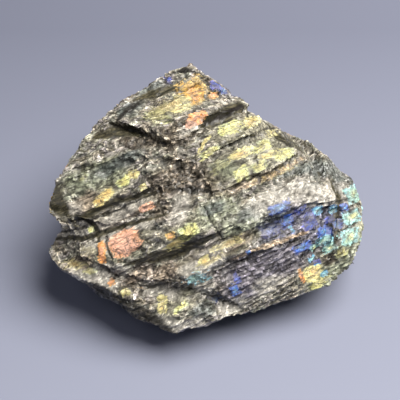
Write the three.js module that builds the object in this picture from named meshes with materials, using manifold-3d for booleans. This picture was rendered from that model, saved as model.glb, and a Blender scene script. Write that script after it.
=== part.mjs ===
// Rough labradorite chunk: one piece of feldspar, broken out of its bed and never cut or polished.
//
// Millimetres, +Z up. The chunk rests on a flat cleavage face in the plane z = 0, and the origin is
// on that plane under the middle of the stone's bounding box. Its broad broken face looks up and
// towards -Y. The stone is made as stone is shaped: a blank with flat sides, long splinters and
// shells of rock struck off the broken face, then edges that wander as a real break does.
import * as THREE from "three";
import { ConvexGeometry } from "three/addons/geometries/ConvexGeometry.js";
import { ImprovedNoise } from "three/addons/math/ImprovedNoise.js";
import { TessellateModifier } from "three/addons/modifiers/TessellateModifier.js";
import { mergeVertices } from "three/addons/utils/BufferGeometryUtils.js";
import Module from "manifold-3d";

// ---- Driving dimensions -------------------------------------------------------------------------

const CENTRE_HEIGHT = 18; // height of the stone's centre, where every face's frame has its origin
const FACET_SIZE = 6; // longest edge of a facet after the surface is divided
const MOST_DIVISIONS = 12; // times that a facet's edge may be halved
const WELD = 1e-4; // corners closer than this are one corner
const ABOVE_SURFACE = 8; // how far every cutter stands proud of the rock it removes
const FOOT_DEPTH = 3; // the blank reaches this far below the rest plane before it is cut flat

// The blank's corners, x, y, z. The rim runs round the broken face from its highest point,
// clockwise as seen from the front.
const RIM = [
  [-5, 38.5, 37],
  [3, 30, 37.5],
  [11.5, 25, 36.5],
  [23, 14, 34],
  [33.5, 7, 31],
  [42, -0.5, 28],
  [44, -4, 25],
  [45.5, -9, 19],
  [48.5, -14.5, 14],
  [43.5, -21, 12],
  [31, -27, 11],
  [20, -31, 11],
  [9.5, -36.8, 10.5],
  [-2, -40, 9.5],
  [-9, -41.5, 9],
  [-20, -36.5, 12.5],
  [-30, -28.5, 17],
  [-41, -24.5, 16.5],
  [-47, -21, 19],
  [-45, -10, 28],
  [-43, -4, 31],
  [-36.5, 5.5, 34],
  [-32.5, 16.5, 35],
  [-23.5, 27.5, 35.5],
  [-12.5, 35.5, 36],
];
// Corners inside the rim, where the broken face bulges.
const CROWN = [
  [-17, 7, 40.5],
  [4, 9, 42],
  [21, -3, 38.5],
  [-27, -8.5, 33],
  [-3, -23, 31],
  [26, -17, 30],
  [4, -33, 18.5],
  [-20, -28, 21.5],
  [37, -18, 21],
];
// Corners of the back and the underside.
const FLANK = [
  [-7, 42, 17],
  [15, 34, 14],
  [33, 19, 15],
  [44, 2, 12],
  [-27, 31, 16],
  [-39.5, 11, 12],
  [-42, -13, 10],
  [-31.5, -27.5, 7.5],
  [-17, -34.5, 4.5],
  [3, -32, 4],
  [25, -23, 4.5],
  [38, -6, 4],
  [31, 14, 4],
  [2, 35, 5],
  [-27, 25, 4],
];
// Corners of the foot, at the bottom of the blank.
const FOOT = [
  [-15, -28],
  [3, -26],
  [19, -16],
  [28, -3],
  [24, 11],
  [9, 24],
  [-9, 28],
  [-22, 17],
  [-30, 3],
  [-27, -14],
];

// Faces of the stone that splinters were struck off, by where each looks, in degrees: its azimuth
// from the front (-Y) round towards +X, its elevation above the horizon, and how far the cleavage
// grain is turned from level on it.
const FACES = {
  broken: { azimuth: 0, elevation: 50, turn: 23 },
  rightRim: { azimuth: 136, elevation: 31, turn: 117 },
  leftRim: { azimuth: 270, elevation: 0, turn: 50 },
  back: { azimuth: 170, elevation: 12, turn: -16 },
  rightFlank: { azimuth: 80, elevation: 0, turn: 28 },
  leftFlank: { azimuth: 285, elevation: 4, turn: -22 },
};

// A ledge is a splinter struck off one face. In the face's own frame its path runs along the foot of
// the step, by distance along the grain and across it. The riser slopes up from the path over one
// width and the tread slopes up from it on the other side; a positive tread lies up across the grain.
const LEDGES = [
  {
    on: "broken",
    path: [[-46, 8], [-36, 4.5], [-29, 3.5], [-21, 4], [-12, 4.5]],
    depth: 2.6,
    tread: -6,
    riser: 1.8,
  },
  {
    on: "broken",
    path: [[-38, 10], [-29.5, 8.5], [-22, 8.5], [-12, 9]],
    depth: 2.2,
    tread: -4.5,
    riser: 2,
  },
  {
    on: "broken",
    path: [[-33, -8], [-26, -9.5], [-16, -11.5], [-6, -11], [3, -11]],
    depth: 2.4,
    tread: -6,
    riser: 3,
  },
  {
    on: "broken",
    path: [[-19, 32.5], [-15, 29], [-9, 22.5], [-3, 18.5]],
    depth: 2.8,
    tread: -8,
    riser: 1,
  },
  { on: "broken", path: [[-34, 23], [-24, 19.5], [-13, 18]], depth: 1.8, tread: -6, riser: 2.5 },
  { on: "broken", path: [[-7, 18], [1, 17], [10, 18], [24, 20]], depth: 2.6, tread: -6, riser: 3.5 },
  {
    on: "broken",
    path: [[-47, 0.5], [-39, -2.5], [-33.5, -7], [-26, -14.5], [-19, -19], [-9, -26], [-3, -33]],
    depth: 2,
    tread: -6,
    riser: 1.6,
  },
  {
    on: "broken",
    path: [[-8, -18.5], [2, -19], [14, -19.5], [23, -20]],
    depth: 1.8,
    tread: -8,
    riser: 1.2,
  },
  {
    on: "broken",
    path: [[3, -14], [10, -13], [19, -13], [27, -15], [36, -19]],
    depth: 2.6,
    tread: -8,
    riser: 2.5,
  },
  { on: "broken", path: [[-2, 0.5], [9, 1], [18, 1], [30, 2.5]], depth: 1.6, tread: -7, riser: 1 },
  {
    on: "broken",
    path: [[-12, 25], [-8, 15], [-2, 7], [1, 0], [0, -8]],
    depth: 1.4,
    tread: 8,
    riser: 7,
  },
  { on: "broken", path: [[31, -13], [29.5, -20], [25, -26], [19, -30]], depth: 2, tread: 6, riser: 1 },
  { on: "broken", path: [[2, 11], [14, 11.5], [27, 12]], depth: 1.4, tread: -4, riser: 0.8 },
  { on: "broken", path: [[-9, 34.5], [0, 33.8], [8, 33.8]], depth: 1.6, tread: -5, riser: 2.4 },
  { on: "rightRim", path: [[-12, 3.5], [2, 3.5], [14, 3.5]], depth: 2.2, tread: 10, riser: 9 },
  { on: "leftRim", path: [[-4, -9], [10, -9], [22, -9]], depth: 1.6, tread: 4, riser: 4 },
  { on: "back", path: [[-38, 8], [-20, 7], [0, 9], [18, 7]], depth: 2.8, tread: -9, riser: 3 },
  { on: "back", path: [[-24, -4], [-6, -5], [14, -3], [34, -5]], depth: 2.6, tread: -8, riser: 2 },
  { on: "back", path: [[5, 12.5], [18, 12], [34, 10.5]], depth: 2.4, tread: -6, riser: 2 },
  { on: "rightFlank", path: [[-20, 2], [-6, 1], [10, 3]], depth: 2.2, tread: -7, riser: 2 },
  { on: "leftFlank", path: [[-18, 3], [-4, 2], [14, 4]], depth: 2.2, tread: -7, riser: 2 },
];
// A hollow is a shell-shaped scar on the broken face: half its length, half its width, its depth.
const HOLLOWS = [
  { on: "broken", at: [-17, 26.5], length: 8, width: 4, depth: 1.8, turn: -18 },
  { on: "broken", at: [15, 21], length: 8, width: 3, depth: 1.6, turn: 5 },
  { on: "broken", at: [-15, -9.5], length: 9, width: 3, depth: 1.8, turn: -3 },
];

// How a real break wanders: two sizes of swell, each with its length and how far it moves
// the rock.
const SWELLS = [
  { length: 15, shift: 2, seed: 3.7 },
  { length: 6, shift: 0.8, seed: 9 },
];
const FLAT_NEAR_FOOT = 5; // the wandering fades out over this height above the rest plane

// ---- Solids -------------------------------------------------------------------------------------

const wasm = await Module();
wasm.setup();

// A closed geometry as a solid that can be joined and cut.
function solidOf(geometry) {
  const bare = geometry.index ? geometry.toNonIndexed() : geometry.clone();
  bare.deleteAttribute("normal");
  bare.deleteAttribute("uv");
  const merged = mergeVertices(bare, WELD);
  const mesh = new wasm.Mesh({
    numProp: 3,
    vertProperties: merged.attributes.position.array,
    triVerts: new Uint32Array(merged.index.array),
  });
  return new wasm.Manifold(mesh);
}

function geometryOf(solid) {
  const mesh = solid.getMesh();
  const geometry = new THREE.BufferGeometry();
  geometry.setAttribute("position", new THREE.BufferAttribute(mesh.vertProperties, 3));
  geometry.setIndex(new THREE.BufferAttribute(mesh.triVerts, 1));
  return geometry;
}

// The stone itself, without the crumbs and pinches that cutting can leave beside it.
function largestPiece(solid) {
  return solid.decompose().reduce((most, piece) => (piece.volume() > most.volume() ? piece : most));
}

// Moves a geometry so that its bounding box is centred over the origin in x and y.
function centred(geometry) {
  geometry.computeBoundingBox();
  const middle = geometry.boundingBox.getCenter(new THREE.Vector3());
  return geometry.translate(-middle.x, -middle.y, 0);
}

// ---- A face's own frame -------------------------------------------------------------------------

class Face {
  constructor({ azimuth, elevation, turn }) {
    const [compass, climb, grain] = [azimuth, elevation, turn].map(THREE.MathUtils.degToRad);
    const sideways = new THREE.Vector3(Math.cos(compass), Math.sin(compass), 0);
    const level = new THREE.Vector3(Math.sin(compass), -Math.cos(compass), 0);
    this.outward = level.clone().multiplyScalar(Math.cos(climb));
    this.outward.z = Math.sin(climb);
    const uphill = level.clone().multiplyScalar(-Math.sin(climb));
    uphill.z = Math.cos(climb);
    this.along = sideways.clone().multiplyScalar(Math.cos(grain)).addScaledVector(uphill, Math.sin(grain));
    this.across = uphill.clone().multiplyScalar(Math.cos(grain)).addScaledVector(sideways, -Math.sin(grain));
  }

  // The place at these distances along the grain, across it and out of the face.
  place(along, across, out) {
    return new THREE.Vector3(0, 0, CENTRE_HEIGHT)
      .addScaledVector(this.along, along)
      .addScaledVector(this.across, across)
      .addScaledVector(this.outward, out);
  }

  // How far out the blank stands at a place on the face, or null past its rim.
  surfaceOut(blank, along, across) {
    const far = 200;
    const probe = new THREE.Raycaster(this.place(along, across, far), this.outward.clone().negate());
    const hit = probe.intersectObject(blank, false)[0];
    return hit ? far - hit.distance : null;
  }
}

const faces = Object.fromEntries(Object.entries(FACES).map(([name, looks]) => [name, new Face(looks)]));

// ---- The blank, and what is struck off it -------------------------------------------------------

function blankGeometry() {
  const corners = [
    ...RIM,
    ...CROWN,
    ...FLANK,
    ...FOOT.map(([x, y]) => [x, y, -FOOT_DEPTH]),
  ];
  return centred(new ConvexGeometry(corners.map((corner) => new THREE.Vector3(...corner))));
}

// One cross-section of a splinter: the foot of its step, the top of the riser, the end of the tread.
// Past the rim there is no rock, and the section is taken a little nearer the middle of the face.
function splinterSection(blank, face, [along, across], { depth, tread, riser }) {
  const inFromRim = 0.93;
  const outAt = (a, c) =>
    face.surfaceOut(blank, a, c) ?? face.surfaceOut(blank, a * inFromRim, c * inFromRim);
  const out = outAt(along, across);
  const riserTop = across - Math.sign(tread) * riser;
  const treadEnd = across + tread;
  return [
    [across, out - depth],
    [riserTop, outAt(along, riserTop) ?? out],
    [riserTop, out + ABOVE_SURFACE],
    [treadEnd, outAt(along, treadEnd) ?? out],
    [treadEnd, out + ABOVE_SURFACE],
  ].map(([c, o]) => face.place(along, c, o));
}

// Takes a splinter off the stone, stretch by stretch. It runs out to nothing at both ends.
function strikeLedge(stone, blank, ledge) {
  const endShare = 0.4;
  const atEnd = {
    depth: ledge.depth * endShare,
    tread: ledge.tread * endShare,
    riser: ledge.riser * endShare,
  };
  const sections = ledge.path.map((place, i) => {
    const size = i === 0 || i === ledge.path.length - 1 ? atEnd : ledge;
    return splinterSection(blank, faces[ledge.on], place, size);
  });
  return sections.slice(1).reduce((rest, section, i) => {
    const stretch = new ConvexGeometry([...sections[i], ...section]);
    return rest.subtract(solidOf(stretch));
  }, stone);
}

// Takes a shell off the stone: the low cap of an ellipsoid that stands mostly outside it.
function strikeHollow(stone, blank, { on, at, length, width, depth, turn }) {
  const face = faces[on];
  const share = 0.45; // how much of the ellipsoid's half height is below the surface
  const out = face.surfaceOut(blank, ...at);
  const spread = 1 / Math.sqrt(1 - (1 - share) ** 2);
  const height = depth / share;
  const shell = new THREE.SphereGeometry(1, 14, 8).scale(length * spread, width * spread, height);
  const pose = new THREE.Matrix4().makeBasis(face.along, face.across, face.outward);
  pose.multiply(new THREE.Matrix4().makeRotationZ(THREE.MathUtils.degToRad(turn)));
  pose.setPosition(face.place(...at, out + height - depth));
  return stone.subtract(solidOf(shell.applyMatrix4(pose)));
}

// ---- How the break wanders ----------------------------------------------------------------------

const noise = new ImprovedNoise();

// A smooth random push at a place. Each swell length has its own seed, and each direction an offset
// into the noise, so that no two of them repeat each other.
function swell(point, { length, seed }) {
  const q = point.clone().divideScalar(length);
  return new THREE.Vector3(
    noise.noise(q.x + seed, q.y, q.z),
    noise.noise(q.x, q.y + seed, q.z + 7),
    noise.noise(q.x + 13, q.y, q.z + seed),
  );
}

function wander(geometry) {
  const place = geometry.attributes.position;
  const point = new THREE.Vector3();
  for (let i = 0; i < place.count; i++) {
    point.fromBufferAttribute(place, i);
    const rest = point.clone();
    const share = THREE.MathUtils.smoothstep(rest.z, 0, FLAT_NEAR_FOOT);
    for (const size of SWELLS) point.addScaledVector(swell(rest, size), size.shift * share);
    place.setXYZ(i, point.x, point.y, point.z);
  }
  return geometry;
}

// The flat cleavage face that the stone rests on.
function cutFlat(stone) {
  const span = 200;
  const below = new THREE.BoxGeometry(span, span, span).translate(0, 0, -span / 2);
  return stone.subtract(solidOf(below));
}

// ---- The chunk ----------------------------------------------------------------------------------

function chunkGeometry() {
  const blank = new THREE.Mesh(blankGeometry());
  let stone = solidOf(blank.geometry);
  stone = LEDGES.reduce((rest, ledge) => strikeLedge(rest, blank, ledge), stone);
  stone = HOLLOWS.reduce((rest, hollow) => strikeHollow(rest, blank, hollow), stone);
  const carved = geometryOf(largestPiece(stone)).toNonIndexed();
  const divided = new TessellateModifier(FACET_SIZE, MOST_DIVISIONS).modify(carved);
  const broken = cutFlat(largestPiece(solidOf(wander(divided))));
  const finished = centred(geometryOf(largestPiece(broken)));
  finished.computeVertexNormals();
  return finished;
}

const chunk = new THREE.Mesh(
  chunkGeometry(),
  new THREE.MeshStandardMaterial({ color: 0x7b7a6c, roughness: 0.5, metalness: 0, flatShading: true }),
);
chunk.name = "labradorite_chunk";

const part = new THREE.Group();
part.add(chunk);

export default part;
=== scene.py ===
import math

import bmesh
import bpy
import numpy as np
from mathutils import Matrix, Vector, noise


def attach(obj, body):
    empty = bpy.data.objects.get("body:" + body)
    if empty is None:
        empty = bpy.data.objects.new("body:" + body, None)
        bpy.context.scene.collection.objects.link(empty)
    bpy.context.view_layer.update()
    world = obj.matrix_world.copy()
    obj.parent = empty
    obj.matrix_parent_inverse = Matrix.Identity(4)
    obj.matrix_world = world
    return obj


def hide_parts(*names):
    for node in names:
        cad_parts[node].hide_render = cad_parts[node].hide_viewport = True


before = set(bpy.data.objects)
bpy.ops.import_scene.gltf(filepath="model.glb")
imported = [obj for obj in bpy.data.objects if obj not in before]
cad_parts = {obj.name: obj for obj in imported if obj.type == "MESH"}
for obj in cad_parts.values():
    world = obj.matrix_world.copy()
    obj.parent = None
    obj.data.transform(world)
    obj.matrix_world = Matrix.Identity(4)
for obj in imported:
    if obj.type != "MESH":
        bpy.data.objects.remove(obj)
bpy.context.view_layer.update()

MM = 0.001
CENTRE_HEIGHT = 18  # the faces' frames have their origin this far above the rest plane, in mm

# ---- How the stone is broken ---------------------------------------------------------------------

MESH_STEP = 0.5  # spacing of the mesh that the breaks are worked into
FOOT_HEIGHT = 0.5  # the flat foot is left alone up to here
FOOT_FADE = 1.5  # and the breaks grow to their full depth over this much more
EVEN_OUT = 60  # rounds of averaging that give the stone's broad shape
# Feldspar cleaves two ways, near enough at a right angle, and both follow the grain. Lean is how far
# each looks from straight out of the broken face, in degrees, step its height, and block the size
# of a block that broke at one level, along, across and out.
CLEAVAGES = [
    {"lean": 22, "step": 1.1, "block": (11, 4, 5), "seed": 3},
    {"lean": 108, "step": 0.9, "block": (8, 5, 5), "seed": 17},
]
STEP_SHARPNESS = 4
STEP_SHARE = 0.8  # how far the rock follows its cleavage steps
STEP_EASE = 0.5  # and the share of them that a smooth break loses
GRAIN_SIZE = 1.5
GRAIN_RELIEF = 0.24
GRAIN_EDGE = 3  # how sharply the gap between two grains closes
GAP_DEPTH = 0.5  # of the gaps between grains, as a share of the relief
STAINED_RELIEF = 0.5  # how much more the grains stand out in stained rock
LUMP_SIZE = (9, 4.5, 4.5)
LUMP_RELIEF = 0.45
LUMP_SEED = 5
CRACK_DEPTH = 0.4
SCAR_DEPTH = 0.5
# Neighbouring cells of a noise draw levels of their own once their centres are spread this far.
BLOCK_SPREAD = 7.3
GRAIN_SPREAD = 9.1
# A spot of the broken face where the steps are worn to gentler slopes: along, across, half length,
# half width, turn. It is averaged this many rounds and takes this share of what they give.
WORN = (-28, 2.5, 16, 11.5, 0)
WORN_ROUNDS = 200
WORN_SHARE = 0.8
WORN_EDGE = (0, 0.5)
CREASE_ANGLE = 40  # edges sharper than this stay sharp, in degrees
# The relief that is kept for the painted shade in crevices and the painted highlight on proud
# places, and its rounds of averaging.
RELIEFS = {"fine_relief": 4, "broad_relief": 40}

# ---- Faces and what is on them -------------------------------------------------------------------
# Each face's azimuth is counted from the front, round towards +X, and its elevation from level. Turn
# is how far the grain climbs across it. All are in degrees.
FACES = {
    "broken": {"azimuth": 0, "elevation": 50, "turn": 23},
    "back": {"azimuth": 170, "elevation": 12, "turn": -16},
    "right": {"azimuth": 80, "elevation": 10, "turn": 28},
    "left": {"azimuth": 285, "elevation": 10, "turn": -22},
    "foot": {"azimuth": 0, "elevation": -90, "turn": 23},
}
# The schiller scale, from the thinnest lamellae to the thickest.
VIOLET, NAVY, BLUE, CYAN, MINT, LIME, YELLOW, GOLD, ORANGE, SALMON = (i / 9 for i in range(10))

# Cleavage plates that flash, their schiller a painted reflection: along, across, half length, half
# width, turn in degrees from the grain, place on the schiller scale, brightness, which is 1 for an
# ordinary flash and above 1 is partly painted light that lifts plates the lamp lights less.
PLATES = {
    "broken": [
        # The top of the stone: a gold plate, an orange nugget below it and pale lime beside it.
        (8.8, 32.8, 4.2, 3.8, 0, GOLD, 0.9),
        (8.4, 29.6, 2.6, 2, 15, GOLD, 1),
        (13.3, 28.4, 1.6, 1.2, 0, (GOLD + ORANGE) / 2, 1),
        (6.3, 23.3, 2.8, 1.7, 0, ORANGE, 1.3),
        (3.6, 22.2, 1.8, 1, 0, SALMON, 0.7),
        (2.5, 27.8, 3, 1.2, 0, YELLOW, 1),
        (0.6, 30, 5.6, 2.2, 0, YELLOW, 0.5),
        (-4, 28.4, 3.4, 2.4, 0, LIME, 0.5),
        (15.8, 31.8, 2, 1.8, 0, NAVY, 1.2),
        (17.5, 28.5, 1.2, 1.2, 0, BLUE, 0.7),
        (3, 38.9, 1.3, 1, 0, NAVY, 0.8),
        # The right shoulder: broad striped plates of pale yellow and lime.
        (11.9, 16.7, 2.3, 1.7, 0, LIME, 1.2),
        (16, 16.6, 1.9, 1.8, 0, LIME, 0.8),
        (20.2, 16.2, 2.4, 1.7, 0, YELLOW, 1),
        (4.9, 15.5, 3.4, 0.6, 37, YELLOW, 1.1),
        (5.5, 12.6, 3, 1.1, 10, LIME, 0.8),
        (13.4, 8.7, 3.6, 1.5, 0, YELLOW, 1),
        (19.5, 8.4, 3.2, 1.6, 0, LIME, 0.9),
        (25.1, 11.1, 2, 1.1, 0, YELLOW, 0.8),
        (6, 8, 2.2, 1.4, 0, LIME, 0.3),
        (20.3, 5.3, 3, 0.9, 0, YELLOW, 0.8),
        (24.8, 3.7, 3.1, 1.6, 0, LIME, 1.2),
        (16.6, 3, 2.3, 1.4, 0, LIME, 0.8),
        (11.1, 3.2, 2.1, 1.9, 0, LIME, 1.1),
        (20, -0.3, 6.5, 0.8, 0, (YELLOW + GOLD) / 2, 0.5),
        # The left side, above and below its two grooves.
        (-27.1, 12.4, 3.8, 1.4, 17, (YELLOW + GOLD) / 2, 1.3),
        (-20.6, 14.2, 2.2, 1.3, 10, LIME, 1.4),
        (-17.1, 14.9, 1.7, 1.1, 0, YELLOW, 0.7),
        (-15.7, 10.6, 1.2, 1, 0, YELLOW, 1),
        (-30.5, 20, 2.2, 0.9, 30, LIME, 0.4),
        (-16.9, 4.9, 2.4, 1.1, 0, SALMON, 1.1),
        (-26.4, -1.8, 4.7, 3.3, 5, SALMON, 1.4),
        (-33.5, -1.6, 3.3, 1.2, 72, ORANGE, 1.3),
        (-34.2, 5.5, 0.9, 0.8, 0, LIME, 1.4),
        (-37, 0.4, 2, 1.6, 0, YELLOW, 0.3),
        (-13.9, -4.8, 1.3, 1.1, 0, GOLD, 1.2),
        (-8.9, -5.6, 3, 1.9, 2, LIME, 1.4),
        (-13.9, -7.5, 2.6, 1.1, 0, YELLOW, 0.7),
        # Below the middle, and along the lower left rim.
        (-7.7, -14.7, 1.7, 1, 10, YELLOW, 1),
        (0, -13, 4, 1.1, 0, YELLOW, 0.6),
        (-7, -15.8, 4, 0.8, 5, YELLOW, 0.5),
        (-12.1, -18.2, 3, 1.6, 0, (CYAN + MINT) / 2, 0.6),
        (-1.5, -22.9, 1, 1.9, 0, NAVY, 1.1),
        (-3.3, -25.8, 1.3, 1.6, 0, BLUE, 1),
        (-9.3, -26, 1.2, 1.1, 0, BLUE, 0.5),
        (4.3, -17.4, 0.9, 0.7, 0, BLUE, 0.9),
        (-42.4, -1.8, 3, 1.2, -20, YELLOW, 0.5),
        (-38.5, -5.2, 2, 0.8, -30, LIME, 0.5),
        (-34.3, -10.5, 1.1, 1, 0, ORANGE, 0.9),
        (-31.7, -14.2, 1.4, 1.2, 0, YELLOW, 0.8),
        (-27, -14.9, 1.3, 0.4, -35, GOLD, 0.5),
        (-23.4, -21.2, 2.6, 1.5, 70, YELLOW, 1.1),
        (-18.9, -24.1, 2.7, 0.9, 12, LIME, 1.2),
        # The blue field at the right.
        (17, -9.6, 3, 1.4, 0, BLUE, 0.7),
        (17.8, -13.6, 1.8, 1.6, 0, BLUE, 1.2),
        (17.9, -16.4, 0.8, 1.3, 0, CYAN, 1),
        (12.5, -14, 3, 2, 0, NAVY, 0.5),
        (22.4, -12.7, 2.6, 1, 0, NAVY, 0.8),
        (23.8, -14.9, 1.9, 1.1, 0, NAVY, 0.7),
        (27.1, -14.7, 1.6, 1.3, 0, CYAN, 1),
        (31.3, -16.4, 1.3, 1.2, 0, CYAN, 1),
        (34.9, -17.2, 1.3, 1.3, 0, BLUE, 1.2),
        (23.5, -17.4, 2.3, 1.3, 0, NAVY, 1),
        (29.3, -18.2, 1.8, 1, 0, NAVY, 0.9),
        (26.6, -20.8, 2.4, 1.5, 0, BLUE, 1.1),
        (31.2, -20.6, 1.7, 1.4, 0, BLUE, 0.6),
        (25.4, -23.4, 2.6, 1.4, 0, (CYAN + MINT) / 2, 0.9),
        (18.6, -22.4, 2.6, 1.3, 0, BLUE, 1),
        (21.8, -24, 1.4, 1, 0, MINT, 0.7),
        (20.2, -26.7, 1.3, 0.9, 0, CYAN, 1.1),
        (21.3, -27.8, 1.4, 1, 0, NAVY, 1.1),
        # The cyan and mint plates down the right edge, and the rainbow plate below them.
        (39.4, -14.6, 2.7, 2.2, 0, MINT, 0.9),
        (41.5, -12.8, 1.2, 1.2, 0, CYAN, 0.9),
        (36, -20.6, 2.8, 2, 0, MINT, 1.1),
        (33.2, -25.2, 2.9, 2.3, 0, MINT, 1),
        (26.3, -25.6, 2, 1.4, 0, MINT, 0.9),
        (28.9, -28.6, 2.2, 1.3, 0, LIME, 0.6),
        (19, -30.6, 2.7, 2.2, 0, YELLOW, 1.3),
        (15.6, -30, 0.8, 2.2, 0, ORANGE, 1),
        (21.8, -32, 1.4, 0.8, 0, CYAN, 1),
        (19.6, -33.9, 3.4, 1, 0, LIME, 0.7),
    ],
    "back": [
        (-22, -6, 5, 2, 4, BLUE, 0.8),
        (-14.5, -7, 2.4, 1.4, 0, CYAN, 0.8),
        (-27, -9, 2.4, 1.2, 0, NAVY, 0.8),
        (-4, -6, 2.4, 1.6, 0, GOLD, 0.6),
        (13, 5, 5.5, 2, -3, LIME, 0.7),
        (20, 2, 3, 1.6, 0, YELLOW, 0.8),
        (27, -1, 2.2, 1.6, 0, GOLD, 0.9),
        (4, 4, 3, 1.2, 0, LIME, 0.4),
        (9, -9, 3.6, 1.5, 0, NAVY, 0.8),
        (4.5, -8, 1.4, 1.1, 0, BLUE, 0.8),
    ],
    "right": [
        (-8, -2, 3.6, 1.6, 0, LIME, 0.9),
        (-1, -5, 2.4, 1.4, 0, MINT, 0.9),
        (8, -3, 3.4, 1.4, 0, YELLOW, 0.9),
        (14, 2, 2.2, 1.4, 0, BLUE, 0.9),
    ],
    "left": [
        (-14, -7, 2.6, 1.3, 0, BLUE, 1),
        (-10, 4, 3.6, 1.8, 0, SALMON, 1),
        (-4, -1, 3.6, 1.5, 0, GOLD, 1),
        (2, -7, 2.2, 1.2, 0, NAVY, 1),
        (7, 6, 3.6, 1.6, 0, LIME, 1),
        (10, -8, 2.4, 1.4, 0, CYAN, 0.9),
        (17, 1, 3, 1.3, 0, YELLOW, 0.9),
    ],
    "foot": [
        (-8, 4, 7, 3, 0, BLUE, 0.5),
        (10, -6, 5, 2, 0, GOLD, 0.4),
    ],
}

# Ground tones on the broken face, as soft spots: along, across, half length, half width, turn. The
# rest of the stone has patches of every tone but the inky one.
PATCH_SIZE = (13, 7, 7)
PATCH_SEED = 40
TONES = {
    # White granular feldspar.
    "pale": [
        (15, -6.6, 5, 2.4, 0),
        (22, -6.5, 6, 2.8, -10),
        (28, -13.2, 3, 1, -10),
        (29, -10.5, 6, 2.8, -20),
        (33.5, -12.4, 4, 2.6, -20),
        (-8.5, 1, 3.5, 2.2, 50),
        (2.5, 20.9, 3, 1.1, 5),
        (-10.5, -15.3, 5, 1.8, 5),
        (-5, -13.5, 5, 1.4, 0),
        (-7.5, -17, 4, 1.4, 0),
        (-23, -17.8, 5, 1.8, -35),
        (-5.5, -29.8, 4, 2, 0),
        (-24, 6.3, 8, 1.7, 8),
        (-30, 1.4, 8, 2, 5),
        (-33, -7.4, 5, 1.8, -25),
        (-38, 6.8, 6, 2.4, -15),
        (-24, 1, 6, 1.4, 0),
        (-39.5, 12.8, 5, 2.4, -15),
        (-10.5, -22.5, 2.6, 1.8, 0),
        (5.3, -28.5, 4, 2, 0),
        (-15, -8, 3, 1.4, 0),
        (-41, -6, 4.5, 1.6, -45),
        (-35.5, -10, 3, 1.8, -45),
        (-24, -28, 5, 2.4, -40),
        (-19, -30.5, 4, 2, 0),
    ],
    # Plates that cleaved clean, pale and crossed by cracks.
    "cleaved": [
        (2, 28.4, 7, 2.4, 3),
        (18, 15.5, 10, 3.4, 0),
        (17, 6, 12, 5, 0),
        (-27, 13, 8, 2.6, 12),
        (-25, 6, 10, 1.6, 3),
        (-27, -1.5, 8, 3.6, 5),
        (-10, -5.5, 6, 2.8, 2),
        (-5, -14, 11, 2, 0),
        (36, -21, 5, 7, 0),
        (19.5, -31, 5, 4, 0),
        (-20, -23, 6, 3, 10),
    ],
    # Iron-stained brown rock along the seam.
    "stained": [
        (-8.5, 6.5, 5, 2, -10),
        (-11.5, 2, 3.4, 1.6, 0),
        (-15, 3.2, 2.4, 1.4, 0),
        (-2.5, 22.6, 4, 1.6, 5),
        (-1, 8, 8, 3.5, -50),
        (-12, 24, 5, 2.6, -40),
        (-1, 19.5, 6, 1.8, 10),
        (11.5, 31.5, 4, 3.4, 0),
        (-9, 10, 6, 3, 0),
        (-30, -12, 6, 2, -45),
        (-12, -20, 6, 1.5, -35),
        (25, -29, 2, 1.6, 0),
    ],
    # Beige rock.
    "beige": [
        (-35, 12.5, 6, 2.2, 10),
        (-26, 5.5, 8, 1.6, 3),
        (25, -7.6, 2.4, 1, 0),
        (31, -9.6, 2.4, 1.2, -20),
        (-40.5, -2.6, 4, 2.4, 0),
        (-26, -11.4, 3.5, 1.4, 0),
        (-19, -13.5, 4, 2, 0),
        (-2, -13.5, 9, 1.6, 0),
        (13, 0, 7, 1, 0),
    ],
    # Lavender-grey smoky rock.
    "smoky": [
        (7, -23, 12, 4.6, 0),
        (21, -15, 9, 4.5, 0),
        (28, -18, 8, 4, 0),
        (24, -23, 6, 3, 0),
        (-2, -27, 5, 3, 0),
    ],
    # Near-black rock under the blue flashes, with a blue cast.
    "inky": [
        (20, -13.4, 8, 2.4, 0),
        (28, -17.4, 7, 3.4, 0),
        (24, -22.6, 6, 2, 0),
        (12, -16.5, 4, 1.4, 0),
        (17.5, 30, 2.6, 2.4, 0),
    ],
    # Grey-green rock.
    "green": [
        (1, -3.6, 6, 3.4, 0),
        (5.5, -10.5, 6, 3.6, 0),
        (26, -33, 8, 3, 0),
        (34, -29, 7, 4.5, 0),
        (6, 6, 4, 2.6, 0),
        (-28, 19, 9, 3.6, 0),
        (-38, -4, 4, 2, 0),
    ],
    # Dark bottle-green rock, clear enough to look wet.
    "bottle": [
        (-11, 34, 4, 2, 10),
        (-3, 38.2, 4, 1.4, 0),
        (27, -1.8, 5, 1.6, -8),
        (33, -4, 5, 2.4, -20),
        (37, -7, 2.6, 3, 0),
        (-20, 19.8, 8, 1.5, 5),
        (14, -12.5, 4, 1.6, 0),
        (0, -2.4, 3, 1.4, 0),
        (9, -7.6, 3.4, 1.6, 0),
        (27.5, -7.6, 3, 1.2, -15),
        (41, -12, 3, 1.2, -60),
        (-14, -27.5, 3, 2, 0),
    ],
}
SMOOTH_TONES = {"cleaved": 0.6, "pale": 0.75, "green": 0.9, "bottle": 0.8, "smoky": 0.4}
TONE_COLOURS = {
    "cleaved": ("#aba891", 0.75),
    "green": ("#959f84", 0.65),
    "stained": ("#736657", 0.75),
    "beige": ("#b09d88", 0.75),
    "smoky": ("#918c9c", 0.8),
    "inky": ("#474c62", 0.75),
    "bottle": ("#737d7c", 0.75),
    "pale": ("#c8c4ba", 0.85),
    "tan": ("#dcc2a2", 0.85),
    # The dark tone is near-black rock, and painted shade under the lower left rim.
    "dark": ("#302e2b", 0.95),
}

# Marks have ragged outlines. They wander by about this much, in waves of this length, and plates
# and lines wander only by a share of it.
RAGGED = 0.7
RAGGED_SIZE = 2.2
RAGGED_SEEDS = (11, 23, 37)
RAGGED_PLATES = 0.6
RAGGED_LINES = 0.5
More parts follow.
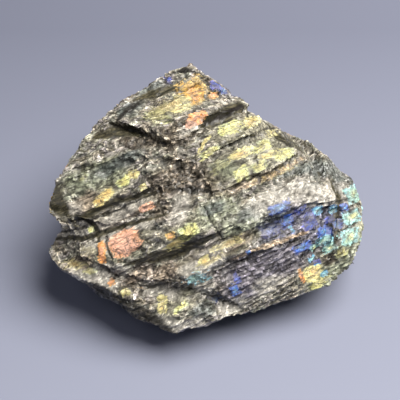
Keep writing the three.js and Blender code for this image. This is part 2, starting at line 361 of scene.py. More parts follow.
# How far inside its outline a mark starts, and where it is whole: 0 on the outline, 1 in the middle.
TONE_EDGE = (-0.5, 0.35)
LINE_EDGE = (-0.3, 0.4)
PLATE_EDGE = (-0.2, 0.4)
PATCH_EDGE = (0.1, 0.35)
# How smooth the rock broke there, from 0 to 1.
SMOOTH_BREAKS = {"cleaved": 0.7, "glassy": 0.9, "pale": 0.5}
SMOOTH_PLATE = 0.8

# Lines on each face, through places along, across and the half width there.
LINES = {
    # Glassy dark olive rock in the scars and grooves.
    "glassy": {
        "broken": [
            ((-9, 37.2, 0.3), (-4, 36.4, 1.6), (2, 35.9, 1.4), (6, 36, 0.3)),
            ((5, 21.5, 0.3), (11, 22.2, 1.5), (17, 22.2, 2.4), (22.5, 22.4, 1.8), (26, 22.5, 0.8)),
            ((6, 19.8, 0.3), (9, 20.2, 1.2), (14, 20.3, 1.6), (20, 20.8, 0.8)),
            ((-24, 30.2, 0.6), (-18, 29.4, 2.1), (-13, 27, 1.5), (-9.5, 23.8, 0.3)),
            ((-43, 11.6, 0.5), (-35, 9.3, 0.9), (-29.5, 9.8, 1.1), (-24, 9.9, 1.2), (-13, 7.8, 0.3)),
            ((-45, 7.2, 0.5), (-37.5, 4.1, 0.8), (-31, 3.2, 0.8), (-24.6, 2.7, 0.6), (-12, 1.2, 0.3)),
            ((-29, -7.4, 0.3), (-25, -8.2, 0.9), (-20, -9, 1.5), (-14, -9.8, 1.8), (-1, -9.4, 0.3)),
            ((26, 9, 0.5), (28.5, 6.8, 2), (30.5, 3.5, 0.5)),
        ],
        "back": [
            ((-32, 5, 0.4), (-21, 6.5, 1.4), (-9, 7.5, 0.5)),
            ((3, -4, 0.4), (14, -3.5, 1.5), (27, -5, 0.4)),
        ],
        "right": [((-16, 3, 0.4), (-5, 2, 1.5), (8, 3.5, 0.4))],
        "left": [((-15, 2, 0.4), (-4, 1.5, 1.4), (10, 3, 0.4))],
    },
    # Open cracks, and painted shade at the feet of ledges.
    "open_cracks_and_ledge_shade": {
        "broken": [
            ((-18, 32, 0.2), (-13.5, 28.3, 0.4), (-9.5, 24.5, 0.2)),
            ((-35.5, -5, 0.5), (-32, -9.5, 0.3)),
            ((-29, -13, 0.2), (-26.5, -15, 0.6), (-23, -16.5, 0.2)),
            ((-12.5, -23, 0.2), (-9.6, -25.6, 0.9), (-7, -28, 0.2)),
            ((1.5, 1.8, 0.3), (7, 0.6, 0.5), (14, 1, 0.2)),
            ((6, 12, 0.2), (14, 12.2, 0.5), (27, 13, 0.3)),
            ((-2, -1, 0.2), (-1.7, -6, 0.5), (-1.4, -10, 0.2)),
            ((33.5, -17.5, 0.3), (30, -22.5, 0.4), (27, -26.5, 0.4), (23.6, -30, 1)),
            ((-2, -18.8, 0.2), (6, -18.8, 0.5), (15, -19.6, 0.4), (21, -20.2, 0.2)),
            ((33, -18.2, 0.2), (38.5, -17.6, 0.4)),
            ((31, -22.8, 0.2), (36.5, -22.8, 0.4)),
            ((1.6, 38.6, 0.6), (3, 37.3, 0.5), (5.5, 36.8, 0.5), (8, 37.6, 0.5), (8.9, 39, 0.4)),
            ((8.9, 39, 0.4), (6.4, 40.4, 0.4), (3.2, 40, 0.4), (1.6, 38.6, 0.4)),
            ((-31.6, -4.5, 0.3), (-31.8, -0.5, 0.5), (-31, 2, 0.3)),
        ],
        "back": [
            ((-12, 12, 0.3), (-9, 2, 0.5), (-11, -8, 0.3)),
            ((10, 9, 0.3), (16, -2, 0.5), (15, -9, 0.3)),
        ],
        "right": [((-3, 9, 0.3), (1, 0, 0.5), (-1, -9, 0.3))],
        "left": [((2, 12, 0.3), (5, 0, 0.5), (3, -9, 0.3))],
    },
    # Near-black: painted shade on the wall under the rim at the lower left, and near-black rock at the
    # top, in the shoulder scar and in the seam.
    "dark": {
        "broken": [
            # Painted shade: the shaded wall under the lower left rim.
            ((-42, -7, 0.5), (-37.5, -12.2, 2), (-33, -19.2, 2.8), (-28, -25.5, 2.6), (-23, -31.5, 0.5)),
            ((7, 20.8, 0.4), (13, 21.4, 1.6), (20, 22.2, 0.8)),
            ((-7, 6.4, 0.4), (-3.5, 4.6, 1.4), (0.5, 2.6, 0.5)),
            ((-16, 31.8, 0.3), (-11, 34.2, 1.3), (-6, 36, 0.3)),
            ((3, 41, 0.3), (8.5, 40.2, 1.1), (12, 37.5, 0.5), (13.4, 34.5, 0.7), (13.4, 31, 0.2)),
        ],
    },
    # Tan lines along the edges of two ledges.
    "tan": {
        "broken": [
            ((11, -0.7, 0.3), (20, -0.3, 0.8), (29, 0.6, 0.4)),
            ((-1, -17.5, 0.3), (6, -17.5, 0.6), (14, -18.2, 0.6), (22, -18.9, 0.3)),
        ],
    },
}


def linear(hex_colour):
    """An sRGB hex colour as linear RGBA."""
    parts = [int(hex_colour[i : i + 2], 16) / 255 for i in (1, 3, 5)]
    return tuple(c / 12.92 if c <= 0.04045 else ((c + 0.055) / 1.055) ** 2.4 for c in parts) + (1.0,)


def smooth(low, high, value):
    """0 below low, 1 above high, and an even slope between them."""
    t = np.clip((value - low) / (high - low), 0, 1)
    return t * t * (3 - 2 * t)


def face_axes(azimuth, elevation, turn):
    """A face's directions in the row frame: along its grain, across it, and out of it."""
    compass, climb, grain = (math.radians(angle) for angle in (azimuth, elevation, turn))
    sideways = Vector((math.cos(compass), math.sin(compass), 0))
    level = Vector((math.sin(compass), -math.cos(compass), 0))
    outward = level * math.cos(climb) + Vector((0, 0, math.sin(climb)))
    uphill = level * -math.sin(climb) + Vector((0, 0, math.cos(climb)))
    along = sideways * math.cos(grain) + uphill * math.sin(grain)
    across = uphill * math.cos(grain) - sideways * math.sin(grain)
    return Matrix((along, across, outward))


FACE_AXES = {name: face_axes(**looks) for name, looks in FACES.items()}
BROKEN_AXES = FACE_AXES["broken"]
# How squarely the stone must look a face's way to carry its marks: 1 is straight along it.
FULLY_FACING = (0.1, 0.4)
PLATE_FACING = 0.3
# The plates of the other faces need more, and keep off the broken face.
SIDE_PLATE_FACING = 0.65
OFF_BROKEN_FACE = 0.25

# ---- The stone's mesh ----------------------------------------------------------------------------


def evenly_meshed_stone():
    """The CAD solid, welded and divided evenly."""
    bm = bmesh.new()
    bm.from_mesh(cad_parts["labradorite_chunk"].data)
    bmesh.ops.remove_doubles(bm, verts=bm.verts, dist=1e-7)
    welded = bpy.data.meshes.new("welded_stone")
    bm.to_mesh(welded)
    bm.free()
    piece = bpy.data.objects.new("rough_stone", welded)
    bpy.context.scene.collection.objects.link(piece)
    remesh = piece.modifiers.new("even mesh", "REMESH")
    remesh.mode = "VOXEL"
    remesh.voxel_size = MESH_STEP * MM
    depsgraph = bpy.context.evaluated_depsgraph_get()
    even = bpy.data.meshes.new_from_object(piece.evaluated_get(depsgraph))
    piece.modifiers.clear()
    piece.data = even
    bpy.data.meshes.remove(welded)
    return piece


def of_vertices(mesh, name):
    """A vector of every vertex, such as co or normal, as rows."""
    flat = np.empty(len(mesh.vertices) * 3, np.float32)
    mesh.vertices.foreach_get(name, flat)
    return flat.reshape(-1, 3).astype(float)


def averaged(mesh, values, rounds):
    """Each vertex's value shared with its neighbours', this many times."""
    ends = np.empty(len(mesh.edges) * 2, np.int32)
    mesh.edges.foreach_get("vertices", ends)
    first, second = ends.reshape(-1, 2).T
    count = np.bincount(ends, minlength=len(values))[:, None]
    for _ in range(rounds):
        total = np.zeros_like(values)
        for column in range(values.shape[1]):
            total[:, column] += np.bincount(first, values[second, column], len(values))
            total[:, column] += np.bincount(second, values[first, column], len(values))
        values = (values + total / count) / 2
    return values


def in_face_mm(co, axes):
    """Places in a face's frame, in mm."""
    return (co / MM - np.array((0, 0, CENTRE_HEIGHT))) @ np.array(axes).T


def terraces(places, lean, step, block, seed):
    """How far each place moves, along the way its cleavage looks, to the level of its step."""
    toward = np.array((0, math.sin(math.radians(lean)), math.cos(math.radians(lean))))
    blocks = places / np.array(block) + seed
    shift = np.array([noise.cell(noise.voronoi(place)[1][0] * BLOCK_SPREAD) for place in blocks])
    level = places @ toward / step + shift
    within = level - np.floor(level)
    riser = np.clip((within - 0.5) * STEP_SHARPNESS + 0.5, 0, 1)
    return np.outer((np.floor(level) + riser - level) * step, toward)


def crystal_grains(places, size):
    """How deep each place lies in the gap between its grain and the next, and its grain's height."""
    gap = np.empty(len(places))
    height = np.empty(len(places))
    for i, place in enumerate(places / size):
        distance, centre = noise.voronoi(place)
        gap[i] = 1 - min(1.0, (distance[1] - distance[0]) * GRAIN_EDGE)
        height[i] = noise.cell(centre[0] * GRAIN_SPREAD)
    return gap, height


def waves(places, length, seed):
    """Smooth noise from about -1 to 1 with waves of this length."""
    return np.array([noise.noise(place) for place in places / np.array(length) + seed])


def spot(places, along, across, half_length, half_width, turn):
    """1 in the middle of a spot, 0 on its edge and less outside it: a box with round corners."""
    cos, sin = math.cos(math.radians(turn)), math.sin(math.radians(turn))
    from_along, from_across = places[:, 0] - along, places[:, 1] - across
    a = (from_along * cos + from_across * sin) / half_length
    b = (from_across * cos - from_along * sin) / half_width
    return 1 - (a**4 + b**4) ** 0.25


def near_line(places, *path):
    """1 on a line, 0 at its half width and less farther out. The half width changes along it."""
    depth = np.full(len(places), -1.0)
    for start, end in zip(np.array(path[:-1], float), np.array(path[1:], float)):
        stretch = (end - start)[:2]
        from_start = places[:, :2] - start[:2]
        share = np.clip(from_start @ stretch / (stretch @ stretch), 0, 1)[:, None]
        away = np.linalg.norm(from_start - share * stretch, axis=1)
        half_width = start[2] + share[:, 0] * (end - start)[2]
        depth = np.maximum(depth, 1 - away / half_width)
    return depth


def keep_on_vertices(mesh, name, values):
    layer = mesh.attributes.new(name, "FLOAT", "POINT")
    layer.data.foreach_set("value", values.astype(np.float32))


def move_vertices(mesh, co):
    mesh.vertices.foreach_set("co", co.astype(np.float32).ravel())
    mesh.update()


def wear_steps(mesh):
    """Wears the steps of the worn spot. Gives back where the vertices are then."""
    co = of_vertices(mesh, "co")
    worn = smooth(*WORN_EDGE, spot(in_face_mm(co, BROKEN_AXES), *WORN))
    worn *= smooth(*FULLY_FACING, of_vertices(mesh, "normal") @ np.array(BROKEN_AXES[2]))
    co += (averaged(mesh, co, WORN_ROUNDS) - co) * worn[:, None] * WORN_SHARE
    move_vertices(mesh, co)
    return co


def facing_each_way(mesh):
    """How squarely the stone's broad shape looks each face's way, for every vertex."""
    broad = averaged(mesh, of_vertices(mesh, "normal"), EVEN_OUT)
    broad /= np.linalg.norm(broad, axis=1, keepdims=True)
    return {name: broad @ np.array(axes[2]) for name, axes in FACE_AXES.items()}


def mark_plates(mesh, co, ragged, looks):
    """Marks the plate each place is most inside, and gives back how far inside it is."""
    inside = np.full(len(co), -1.0)
    schiller = np.zeros(len(co))
    brightness = np.zeros(len(co))
    for name, plates in PLATES.items():
        places = in_face_mm(co, FACE_AXES[name]) + ragged * RAGGED_PLATES
        facing = looks[name] > PLATE_FACING
        if name != "broken":
            facing = (looks[name] > SIDE_PLATE_FACING) & (looks["broken"] < OFF_BROKEN_FACE)
        for *shape, tone, bright in plates:
            depth = spot(places, *shape)
            nearer = (depth > inside) & facing
            inside[nearer] = depth[nearer]
            schiller[nearer] = tone
            brightness[nearer] = bright
    keep_on_vertices(mesh, "plate", inside)
    keep_on_vertices(mesh, "schiller", schiller)
    keep_on_vertices(mesh, "brightness", brightness)
    return inside


def mark_tones(mesh, co, ragged, looks):
    """Marks the ground tones and the lines, and gives back how much of each is at every place."""
    places = in_face_mm(co, BROKEN_AXES)
    on_broken_face = smooth(*FULLY_FACING, looks["broken"])
    tones = {}
    for seed, (name, spots) in enumerate(TONES.items(), start=PATCH_SEED):
        depth = np.max([spot(places + ragged, *shape) for shape in spots], axis=0)
        patches = smooth(*PATCH_EDGE, waves(places, PATCH_SIZE, seed)) * (name != "inky")
        tones[name] = smooth(*TONE_EDGE, depth) * on_broken_face + patches * (1 - on_broken_face)
    for name, faces in LINES.items():
        tones[name] = np.zeros(len(co))
        for face, lines in faces.items():
            on_face = in_face_mm(co, FACE_AXES[face]) + ragged * RAGGED_LINES
            depth = np.max([near_line(on_face, *line) for line in lines], axis=0)
            marks = smooth(*LINE_EDGE, depth) * smooth(*FULLY_FACING, looks[face])
            tones[name] = np.maximum(tones[name], marks)
    for name, tone in tones.items():
        keep_on_vertices(mesh, name, tone)
    return tones


def break_surface(mesh, co, plates, tones):
    """Works the breaks in. Plates and glassy scars broke smooth, and the foot stays flat."""
    places = in_face_mm(co, BROKEN_AXES)
    even = smooth(*PLATE_EDGE, plates) * SMOOTH_PLATE
    for name, share in SMOOTH_BREAKS.items():
        even = np.maximum(even, tones[name] * share)
    move = sum(terraces(places, **cleavage) for cleavage in CLEAVAGES) * STEP_SHARE
    move *= (1 - STEP_EASE * even)[:, None]
    move = move @ np.array(BROKEN_AXES)
    gap, height = crystal_grains(places, GRAIN_SIZE)
    rough = 1 - even + STAINED_RELIEF * tones["stained"]
    relief = ((height - 0.5) - gap * GAP_DEPTH) * GRAIN_RELIEF * rough
    relief += waves(places, LUMP_SIZE, LUMP_SEED) * LUMP_RELIEF
    relief -= tones["open_cracks_and_ledge_shade"] * CRACK_DEPTH
    relief -= tones["glassy"] * SCAR_DEPTH
    move += of_vertices(mesh, "normal") * relief[:, None]
    above_foot = smooth(FOOT_HEIGHT, FOOT_HEIGHT + FOOT_FADE, co[:, 2] / MM)
    co += move * above_foot[:, None] * MM
    co[:, 2] = np.maximum(co[:, 2], 0)
    move_vertices(mesh, co)


def mark_relief(mesh):
    """Marks how far each place stands proud of the rock around it, in mm."""
    co = of_vertices(mesh, "co")
    normal = of_vertices(mesh, "normal")
    for name, rounds in RELIEFS.items():
        proud = co - averaged(mesh, co, rounds)
        keep_on_vertices(mesh, name, np.sum(proud * normal, axis=1) / MM)


def rough_stone():
    piece = evenly_meshed_stone()
    mesh = piece.data
    co = wear_steps(mesh)
    looks = facing_each_way(mesh)
    places = in_face_mm(co, BROKEN_AXES)
    ragged = np.stack([waves(places, RAGGED_SIZE, seed) for seed in RAGGED_SEEDS], axis=1) * RAGGED
    plates = mark_plates(mesh, co, ragged, looks)
    tones = mark_tones(mesh, co, ragged, looks)
    break_surface(mesh, co, plates, tones)
    mark_relief(mesh)
    mesh.set_sharp_from_angle(angle=math.radians(CREASE_ANGLE))
    return piece


# ---- Materials -----------------------------------------------------------------------------------

# Flake shades from near-black to white: the whitest are white grains and partly painted glints.
GRAIN_AND_GLINT_SHADES = [(0, "#4c4c4c"), (0.2, "#8c8c8c"), (0.7, "#a6a6a6"), (0.9, "#cccccc"), (1, "#ffffff")]
# Flakes: their size in mm, how much their shades differ and how far they tilt.
GRAINS = [(0.42, 0.9, 0.8), (1.3, 0.4, 0.8)]
FLAKE_TINTS = [(0, "#94896c"), (0.3, "#99a092"), (0.55, "#b3a691"), (0.8, "#a49da4"), (1, "#cfccbe")]
# The lamellae that flash lie one way through the whole crystal, and look this way.
LAMELLAE = (0.15, -0.33, 0.93)
# Cracks run where a noise passes its middle: its waves to the mm along, across and out of the
# broken face, and how dark they get.
CRACKS = [((0.05, 0.55, 0.4), 1), ((0.26, 0.07, 0.2), 0.85), ((0.2, 0.36, 0.3), 0.6)]
# Noise patterns on the rock, with their scales to the mm: patches of 3 mm, mottling of 1 mm within
# them, and fibrous streaks 0.8 mm across and six times as long.
PATTERNS = {
    "patch": {"Scale": 0.3, "Detail": 3, "Roughness": 0.6},
    "mottled": {"Scale": 0.9, "Detail": 6, "Roughness": 0.75},
    "streak": {"Scale": 1.3, "Detail": 5, "Roughness": 0.7},
}
# Each pattern's lowest and highest levels, and how dark and light the rock is at them.
PATTERN_SHADES = {
    "patch": (0.35, 0.65, 0.82, 1.2),
    "mottled": (0.3, 0.7, 0.78, 1.24),
    "streak": (0.38, 0.62, 0.74, 1.28),
}
# Painted shade and highlight from the relief: how far below and above its surroundings a place
# is darkest and lightest, in mm, and how dark and light it is there.
PAINTED_RELIEF_SHADING = {"fine_relief": (0.12, 0.7, 1.35), "broad_relief": (0.6, 0.7, 1.25)}
GROUND_GREYS = [(0.35, "#95978a"), (0.5, "#a4a096"), (0.65, "#b2aba0")]
SCAR_OLIVES = [(0.36, "#2a2b23"), (0.5, "#4c4939"), (0.62, "#7f785f")]
SCAR_BLACK = "#2b2725"
# Near-black of the cracks and of the painted shade at the feet of ledges.
CRACK_AND_LEDGE_SHADE_BLACK = "#2c2a25"
# The schiller's colours, a reflection off the lamellae painted into the colour.
FLASHES = [
    (VIOLET, "#4a3f8c"),
    (NAVY, "#2a3d9a"),
    (BLUE, "#3a68cc"),
    (CYAN, "#6ec2e6"),
    (MINT, "#b2e8d8"),
    ((MINT + LIME) / 2, "#d6e0a2"),
    (LIME, "#e2de8c"),
    (YELLOW, "#ece09a"),
    (GOLD, "#e2b354"),
    (ORANGE, "#ea9c5c"),
    (SALMON, "#e2ac92"),
]
# Settings that many nodes share.
MULTIPLY = {"operation": "MULTIPLY"}
MULTIPLY_ADD = {"operation": "MULTIPLY_ADD"}
SUBTRACT = {"operation": "SUBTRACT"}
COLOURS = {"data_type": "RGBA"}


def in_use(sockets, key):
    """The socket with this number, or with this name among those that the node's settings use."""
    return sockets[key] if isinstance(key, int) else next(s for s in sockets if s.name == key and s.enabled)


def add(tree, kind, settings={}, values={}, links={}, stops=(), give=None):
    """Adds a node with its settings, its inputs' values and links, and a ramp's stops. Gives back
    the first output in use, the one named, or each of those named in a tuple."""
    made = tree.nodes.new("ShaderNode" + kind)
    for name, setting in settings.items():
        setattr(made, name, setting)
    for key, value in values.items():
        in_use(made.inputs, key).default_value = value
    for key, source in links.items():
        tree.links.new(source, in_use(made.inputs, key))
    while stops and len(made.color_ramp.elements) < len(stops):
        made.color_ramp.elements.new(0.5)
    for element, (place, colour) in zip(made.color_ramp.elements if stops else (), stops):
        element.position = place
        element.color = linear(colour)
    if isinstance(give, tuple):
        return [in_use(made.outputs, name) for name in give]
    return in_use(made.outputs, give) if give else next((s for s in made.outputs if s.enabled), None)


def wandering(tree, mm, waves_to_mm, detail, reach):
    """Places that wander off by up to about half the reach each way, in mm."""
    waves_of = {"Scale": waves_to_mm, "Detail": detail}
    wave = add(tree, "TexNoise", values=waves_of, links={"Vector": mm}, give="Color")
    wave = add(tree, "VectorMath", SUBTRACT, {1: (0.5, 0.5, 0.5)}, {0: wave})
    return add(tree, "VectorMath", MULTIPLY_ADD, {1: reach}, {0: wave, 2: mm})


def grain_flakes(tree, turned):
    """Flakes a little longer along a wandering direction. Gives back the flakes' shade and tilt, and
    a tint and a gloss for each of the large ones."""
    flakes = add(tree, "Mapping", values={"Scale": (0.55, 1.15, 0.9)}, links={"Vector": turned})
    shade = None
    tilt = None
    for size, contrast, lean in GRAINS:
        cell = add(tree, "TexVoronoi", values={"Scale": 1 / size}, links={"Vector": flakes}, give="Color")
        one, tint, gloss = add(tree, "SeparateColor", links={"Color": cell}, give=("Red", "Green", "Blue"))
        tone = add(tree, "ValToRGB", links={"Fac": one}, stops=GRAIN_AND_GLINT_SHADES)
        level = add(tree, "Math", MULTIPLY_ADD, {1: 2.6 * contrast, 2: 1 - contrast}, {0: tone})
        shade = add(tree, "Math", MULTIPLY, links={0: shade, 1: level}) if shade else level
        cell = add(tree, "VectorMath", SUBTRACT, {1: (0.5, 0.5, 0.5)}, {0: cell})
        cell = add(tree, "VectorMath", {"operation": "SCALE"}, {"Scale": lean}, {0: cell})
        tilt = add(tree, "VectorMath", {"operation": "ADD"}, links={0: tilt, 1: cell}) if tilt else cell
    return shade, tilt, tint, gloss


def smooth_places(tree, marked):
    """How little the flakes show at each place."""
    calm = marked["glassy"]
    for name, most in SMOOTH_TONES.items():
        share = add(tree, "Math", MULTIPLY, {1: most}, {0: marked[name]})
        calm = add(tree, "Math", {"operation": "MAXIMUM"}, {}, {0: calm, 1: share})
    return calm


def ground_colour(tree, mm, marked, tint):
    """Grey-green, drifting to warm grey over centimetres, with the tones laid over it."""
    drift = add(tree, "TexNoise", values={"Scale": 0.09, "Detail": 3}, links={"Vector": mm}, give="Fac")
    ground = add(tree, "ValToRGB", links={"Fac": drift}, stops=GROUND_GREYS)
    tint = add(tree, "ValToRGB", links={"Fac": tint}, stops=FLAKE_TINTS)
    ground = add(tree, "Mix", COLOURS, {"Factor": 0.5}, {"A": ground, "B": tint})
    for name, (colour, most) in TONE_COLOURS.items():
        share = add(tree, "Math", MULTIPLY, {1: most}, {0: marked[name]})
        ground = add(tree, "Mix", COLOURS, {"B": linear(colour)}, {"Factor": share, "A": ground})
    return ground


def patterned_and_painted_shade(tree, shade, patterns, marked):
    """The flakes' shade, lighter or darker by each pattern, with painted shade in crevices and a
    painted highlight on proud edges."""
    for name, (low, high, dark, light) in PATTERN_SHADES.items():
        reach = {"From Min": low, "From Max": high, "To Min": dark, "To Max": light}
        level = add(tree, "MapRange", values=reach, links={"Value": patterns[name]})
        shade = add(tree, "Math", MULTIPLY, links={0: shade, 1: level})
    # Painted shade in hollows and a painted highlight on proud places.
    for name, (depth, dark, light) in PAINTED_RELIEF_SHADING.items():
        reach = {"From Min": -depth, "From Max": depth, "To Min": dark, "To Max": light}
        level = add(tree, "MapRange", values=reach, links={"Value": marked[name]})
        shade = add(tree, "Math", MULTIPLY, links={0: shade, 1: level})
    return shade


def cleavage_blocks(tree, mm):
    """Rows of blocks that follow the grain, broken across, each a little different. Gives back the
    blocks' shades, the joints between them, and the bent places that the rows follow."""
    bent = wandering(tree, mm, 0.2, 3, (6, 3.5, 3))
    bent = add(tree, "Mapping", values={"Rotation": (math.radians(-18), 0, 0)}, links={"Vector": bent})
    sizes = {"Scale": 1, "Mortar Size": 0.22, "Mortar Smooth": 1, "Brick Width": 2.8, "Row Height": 1.5}
    sizes |= {"Color1": (0, 0, 0, 1), "Color2": (1, 1, 1, 1), "Mortar": (0.5, 0.5, 0.5, 1)}
    block, joint = add(tree, "TexBrick", values=sizes, links={"Vector": bent}, give=("Color", "Fac"))
    return block, joint, bent


def plate_shape(tree, marked, block, patterns):
    """1 on a plate and 0 off it. Plates' edges follow the blocks, and the fainter a plate is, the
    more it frays."""
    frays = {"From Min": 0.4, "From Max": 1.2, "To Min": 1.7, "To Max": 0.35}
    fray = add(tree, "MapRange", values=frays, links={"Value": marked["brightness"]})
    edge = marked["plate"]
    for pattern, reach in ((block, 0.5), (patterns["streak"], 1.8), (patterns["mottled"], 2.4)):
        uneven = add(tree, "Math", MULTIPLY_ADD, {1: reach, 2: -reach / 2}, {0: pattern})
        edge = add(tree, "Math", MULTIPLY_ADD, {}, {0: uneven, 1: fray, 2: edge})
    soft = {"From Min": -0.1, "From Max": 0.25}
    return add(tree, "MapRange", {"interpolation_type": "SMOOTHSTEP"}, soft, {"Value": edge})


def plate_flash(tree, marked, block, shade):
    """The painted schiller reflection. A flash is a little farther up the schiller scale in the middle of
    its plate than at the edge, and the brighter plates are lighter too."""
    tone = add(tree, "Math", MULTIPLY_ADD, {1: 0.08, 2: -0.04}, {0: block})
    tone = add(tree, "Math", {"operation": "ADD"}, links={0: marked["schiller"], 1: tone})
    middle = {"To Min": -0.05, "To Max": 0.07}
    inner = add(tree, "MapRange", values=middle, links={"Value": marked["plate"]})
    tone = add(tree, "Math", {"operation": "ADD"}, links={0: tone, 1: inner})
    flash = add(tree, "ValToRGB", links={"Fac": tone}, stops=FLASHES)
    # Painted light: the brightness lifts the painted flash, and above 1 it partly makes up for plates the
    # lamp lights less.
    gain = add(tree, "Math", MULTIPLY_ADD, {1: 0.5, 2: 0.5}, {0: marked["brightness"]})
    glow = add(tree, "Mix", values={"Factor": 0.5, "A": 1.0}, links={"B": shade})
    glow = add(tree, "Math", MULTIPLY, links={0: glow, 1: gain})
    return add(tree, "VectorMath", {"operation": "SCALE"}, links={0: flash, "Scale": glow})


def flash_strength(tree, marked, block, plate):
    """How much of the flash covers the rock, a little different on each block."""
    blocks = {"From Min": 0.1, "From Max": 0.6, "To Min": 0.85, "To Max": 1.25}
    block_share = add(tree, "MapRange", values=blocks, links={"Value": block})
    strength = add(tree, "Math", MULTIPLY, links={0: plate, 1: marked["brightness"]})
    return add(tree, "Math", MULTIPLY | {"use_clamp": True}, links={0: strength, 1: block_share})


def cracks_and_painted_ledge_shade(tree, marked, joint, bent, plate, mottled):
    """Thin dark cracks, all of them broken up: long ones with the grain, short ones across it, and the
    joints between a plate's blocks. Few are open in the pale rock. Over them lie the open cracks and
    the painted shade at the feet of ledges."""
    dark_lines = add(tree, "Math", MULTIPLY, links={0: joint, 1: plate})
    for to_mm, most in CRACKS:
        split = add(tree, "Mapping", values={"Scale": to_mm}, links={"Vector": bent})
        split = add(tree, "TexNoise", values={"Scale": 1, "Detail": 3}, links={"Vector": split}, give="Fac")
        split = add(tree, "Math", SUBTRACT, {1: 0.5}, {0: split})
        split = add(tree, "Math", {"operation": "ABSOLUTE"}, links={0: split})
        width = {"From Max": 0.045, "To Min": most, "To Max": 0}
        split = add(tree, "MapRange", values=width, links={"Value": split})
        dark_lines = add(tree, "Math", {"operation": "MAXIMUM"}, links={0: dark_lines, 1: split})
    gaps = {"From Min": 0.46, "From Max": 0.6, "To Min": 1, "To Max": 0.25}
    broken_up = add(tree, "MapRange", values=gaps, links={"Value": mottled})
    dark_lines = add(tree, "Math", MULTIPLY, links={0: dark_lines, 1: broken_up})
    closed = add(tree, "MapRange", values={"To Min": 1, "To Max": 0.5}, links={"Value": marked["pale"]})
    dark_lines = add(tree, "Math", MULTIPLY, links={0: dark_lines, 1: closed})
    # Open cracks, and painted shade at the feet of ledges.
    gash_and_ledge_shade = add(tree, "Math", MULTIPLY, {1: 0.7}, {0: marked["open_cracks_and_ledge_shade"]})
    return add(tree, "Math", {"operation": "MAXIMUM"}, links={0: dark_lines, 1: gash_and_ledge_shade})


def flake_facets(tree, mm, tilt, calm, strength):
    """Each flake catches the light its own way, plates catch it as their lamellae lie, and crystals
    too small for the mesh are 0.6 mm."""
    normal = add(tree, "NewGeometry", give="Normal")
    toward = add(tree, "VectorMath", {"operation": "DOT_PRODUCT"}, {1: LAMELLAE}, {0: normal}, give="Value")
    near = {"From Min": 0.1, "From Max": 0.6, "To Max": 0.8}
    toward = add(tree, "MapRange", values=near, links={"Value": toward})
    toward = add(tree, "Math", MULTIPLY, links={0: toward, 1: strength})
    normal = add(tree, "Mix", {"data_type": "VECTOR"}, {"B": LAMELLAE}, {"Factor": toward, "A": normal})
    tilt_share = add(tree, "MapRange", values={"To Min": 0.3, "To Max": 0.12}, links={"Value": calm})
    tilt = add(tree, "VectorMath", {"operation": "SCALE"}, links={0: tilt, "Scale": tilt_share})
    facet = add(tree, "VectorMath", {"operation": "ADD"}, links={0: normal, 1: tilt})
    facet = add(tree, "VectorMath", {"operation": "NORMALIZE"}, links={0: facet})
    crystals = {"Scale": 1.6, "Detail": 4, "Roughness": 0.65}
    fine = add(tree, "TexNoise", values=crystals, links={"Vector": mm})
    relief = {"Strength": 0.35, "Distance": 0.2 * MM}
    return add(tree, "Bump", values=relief, links={"Height": fine, "Normal": facet})


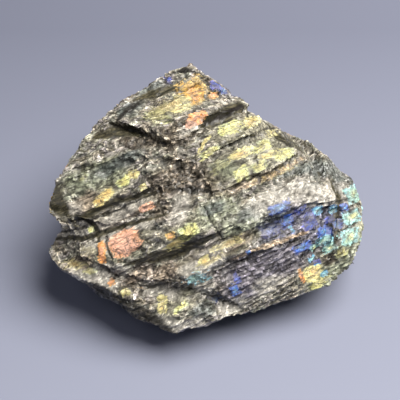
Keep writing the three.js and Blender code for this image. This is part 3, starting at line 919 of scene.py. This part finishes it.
def broken_labradorite():
    """Labradorite, a plagioclase feldspar, with a vitreous lustre on its cleavages and an uneven,
    granular break between them. The grains are grey-green with white and near-black among them,
    and the whitest flakes are partly painted glints."""
    material = bpy.data.materials.new("broken labradorite")
    material.use_nodes = True
    tree = material.node_tree
    tree.nodes.clear()
    place = add(tree, "TexCoord", give="Object")
    face_mm = {"Scale": (1 / MM,) * 3, "Rotation": BROKEN_AXES.to_euler()}
    mm = add(tree, "Mapping", values=face_mm, links={"Vector": place})
    names = ("plate", "schiller", "brightness", *RELIEFS, *TONES, *LINES)
    marked = {name: add(tree, "Attribute", {"attribute_name": name}, give="Fac") for name in names}

    # Streaks follow the grain, and patches and mottling are stretched along a wandering direction.
    turned = wandering(tree, mm, 0.22, 1, (6, 6, 6))
    along_grain = add(tree, "Mapping", values={"Scale": (0.16, 1, 1)}, links={"Vector": mm})
    stretched = add(tree, "Mapping", values={"Scale": (0.5, 1, 1)}, links={"Vector": turned})
    bases = {"patch": stretched, "mottled": stretched, "streak": along_grain}
    patterns = {}
    for name, looks in PATTERNS.items():
        patterns[name] = add(tree, "TexNoise", values=looks, links={"Vector": bases[name]}, give="Fac")

    # Rock.
    shade, tilt, tint, gloss = grain_flakes(tree, turned)
    calm = smooth_places(tree, marked)
    grainy = add(tree, "MapRange", values={"To Min": 1, "To Max": 0.4}, links={"Value": calm})
    shade = add(tree, "Mix", values={"A": 1.0}, links={"Factor": grainy, "B": shade})
    shade = patterned_and_painted_shade(tree, shade, patterns, marked)
    ground = ground_colour(tree, mm, marked, tint)
    rock = add(tree, "VectorMath", {"operation": "SCALE"}, links={0: ground, "Scale": shade})

    # Glassy scars are dark olive turning brown, with the grain running through them.
    scar = add(tree, "ValToRGB", links={"Fac": patterns["streak"]}, stops=SCAR_OLIVES)
    scar = add(tree, "Mix", COLOURS, {"B": linear(SCAR_BLACK)}, {"Factor": marked["dark"], "A": scar})
    rock = add(tree, "Mix", COLOURS, {}, {"Factor": marked["glassy"], "A": rock, "B": scar})

    # Flashing plates, their schiller a painted reflection, and cracks through everything, with painted
    # shade at the feet of ledges.
    block, joint, bent = cleavage_blocks(tree, mm)
    plate = plate_shape(tree, marked, block, patterns)
    flash = plate_flash(tree, marked, block, shade)
    strength = flash_strength(tree, marked, block, plate)
    surface = add(tree, "Mix", COLOURS, {}, {"Factor": strength, "A": rock, "B": flash})
    dark_lines = cracks_and_painted_ledge_shade(tree, marked, joint, bent, plate, patterns["mottled"])
    surface = add(tree, "Mix", COLOURS, {"B": linear(CRACK_AND_LEDGE_SHADE_BLACK)}, {"Factor": dark_lines, "A": surface})

    facets = flake_facets(tree, mm, tilt, calm, strength)
    roughness = add(tree, "MapRange", values={"To Min": 0.22, "To Max": 0.55}, links={"Value": gloss})
    lit = {"Base Color": surface, "Roughness": roughness, "Normal": facets}
    shader = add(tree, "BsdfPrincipled", values={"IOR": 1.56}, links=lit)
    add(tree, "OutputMaterial", links={"Surface": shader})
    return material


stone = rough_stone()
stone.data.materials.clear()
stone.data.materials.append(broken_labradorite())
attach(stone, "root")
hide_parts("labradorite_chunk")

# ---- Floor, light and camera ---------------------------------------------------------------------
# These are in metres. The key light is above and to the right, and the fill above and to the left.

FLOOR_HALF_SIZE = 1.5
# The floor's tint goes from one shade to the other between the far end and the near end.
FLOOR_SHADES = [(0, "#7d8297"), (1, "#a9afc6")]
FLOOR_FAR = 0.1
FLOOR_NEAR = -0.1
KEY = {"place": (0.3, 0.1, 0.58), "size": 0.6, "power": 7.7, "colour": "#fffaf2"}
FILL = {"place": (-0.4, -0.1, 0.6), "size": 0.5, "power": 0.4, "colour": "#f8f6ff"}
ROOM_COLOUR = "#cdd3e4"
ROOM_LIGHT = 0.03
# The camera looks squarely at the broken face.
AIM = Vector((-2.7, 0, CENTRE_HEIGHT)) * MM
VIEW_DISTANCE = 281.9 * MM


def pale_floor():
    """A floor of matt paper, a little paler towards the front."""
    bm = bmesh.new()
    bmesh.ops.create_grid(bm, x_segments=1, y_segments=1, size=FLOOR_HALF_SIZE)
    mesh = bpy.data.meshes.new("floor")
    bm.to_mesh(mesh)
    bm.free()
    floor = bpy.data.objects.new("floor", mesh)
    bpy.context.scene.collection.objects.link(floor)
    paint = bpy.data.materials.new("graduated matt paper")
    paint.use_nodes = True
    tree = paint.node_tree
    place = add(tree, "TexCoord", give="Object")
    depth = add(tree, "SeparateXYZ", links={"Vector": place}, give="Y")
    reach = {"From Min": FLOOR_FAR, "From Max": FLOOR_NEAR}
    depth = add(tree, "MapRange", values=reach, links={"Value": depth})
    shade = add(tree, "ValToRGB", links={"Fac": depth}, stops=FLOOR_SHADES)
    surface = tree.nodes["Principled BSDF"]
    tree.links.new(shade, surface.inputs["Base Color"])
    surface.inputs["Roughness"].default_value = 0.9
    mesh.materials.append(paint)


def soft_light(name, place, size, power, colour):
    data = bpy.data.lights.new(name, "AREA")
    data.shape = "DISK"
    data.size = size
    data.energy = power
    data.color = linear(colour)[:3]
    light = bpy.data.objects.new(name, data)
    light.location = place
    light.rotation_euler = (-Vector(place)).to_track_quat("-Z", "Y").to_euler()
    bpy.context.scene.collection.objects.link(light)


pale_floor()
soft_light("key", **KEY)
soft_light("fill", **FILL)
world = bpy.data.worlds.new("soft room")
bpy.context.scene.world = world
world.use_nodes = True
world.node_tree.nodes["Background"].inputs["Color"].default_value = linear(ROOM_COLOUR)
world.node_tree.nodes["Background"].inputs["Strength"].default_value = ROOM_LIGHT

camera_data = bpy.data.cameras.new("camera")
camera_data.lens = 85
camera_data.sensor_width = 36
camera_data.clip_start = 0.01
camera = bpy.data.objects.new("camera", camera_data)
camera.location = AIM + BROKEN_AXES[2] * VIEW_DISTANCE
camera.rotation_euler = BROKEN_AXES[2].to_track_quat("Z", "Y").to_euler()
bpy.context.scene.collection.objects.link(camera)
bpy.context.scene.camera = camera
bpy.context.scene.view_settings.view_transform = "Standard"
